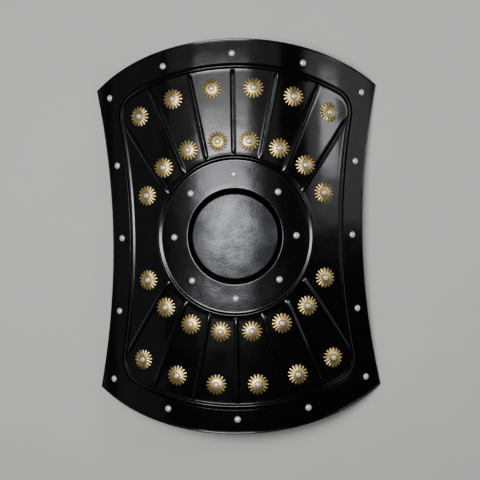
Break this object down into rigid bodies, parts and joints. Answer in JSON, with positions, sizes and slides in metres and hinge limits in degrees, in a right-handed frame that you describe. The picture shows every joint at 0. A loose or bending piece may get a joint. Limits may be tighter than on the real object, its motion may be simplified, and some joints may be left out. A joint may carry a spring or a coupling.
{
  "type": "crusader hand shield",
  "caption": "Curved blackened steel shield with raised ribs, riveted border and boss plate, brass rosettes and leather loops behind.",
  "frame": {"origin": "on the ground under the middle of the shield, as it lies face up on the four corners of its border", "axes": "+X across the shield to the picture's right, +Y up the shield along its upright axis, +Z out of its face"},
  "size_m": [0.558, 0.75, 0.1154],
  "materials": {
    "black_steel": "gloss black, faint hand-worked unevenness",
    "boss_steel": "black, rubbed and scuffed on the dome",
    "silver_rivet": "bright, softly polished domes",
    "brass": "aged brass, bright petal edges, dark hollows",
    "leather": "dark brown, waxed"
  },
  "bodies": {
    "root": {"body": "black_steel", "border": "black_steel", "boss": "boss_steel", "border_rivet_01": "silver_rivet", "border_rivet_02": "silver_rivet", "border_rivet_03": "silver_rivet", "border_rivet_04": "silver_rivet", "border_rivet_05": "silver_rivet", "border_rivet_06": "silver_rivet", "border_rivet_07": "silver_rivet", "border_rivet_08": "silver_rivet", "border_rivet_09": "silver_rivet", "border_rivet_10": "silver_rivet", "border_rivet_11": "silver_rivet", "border_rivet_12": "silver_rivet", "border_rivet_13": "silver_rivet", "border_rivet_14": "silver_rivet", "border_rivet_15": "silver_rivet", "border_rivet_16": "silver_rivet", "boss_rivet_01": "silver_rivet", "boss_rivet_02": "silver_rivet", "boss_rivet_03": "silver_rivet", "boss_rivet_04": "silver_rivet", "boss_rivet_05": "silver_rivet", "boss_rivet_06": "silver_rivet", "boss_rivet_07": "silver_rivet", "boss_rivet_08": "silver_rivet", "rosette_01": "brass", "rosette_02": "brass", "rosette_03": "brass", "rosette_04": "brass", "rosette_05": "brass", "rosette_06": "brass", "rosette_07": "brass", "rosette_08": "brass", "rosette_09": "brass", "rosette_10": "brass", "rosette_11": "brass", "rosette_12": "brass", "rosette_13": "brass", "rosette_14": "brass", "rosette_15": "brass", "rosette_16": "brass", "rosette_17": "brass", "rosette_18": "brass", "rosette_19": "brass", "rosette_20": "brass", "rosette_21": "brass", "rosette_22": "brass", "rosette_23": "brass", "rosette_24": "brass", "rosette_25": "brass", "rosette_26": "brass", "rosette_27": "brass", "rosette_28": "brass", "arm_strap": "leather", "hand_grip": "leather"}
  },
  "joints": []
}
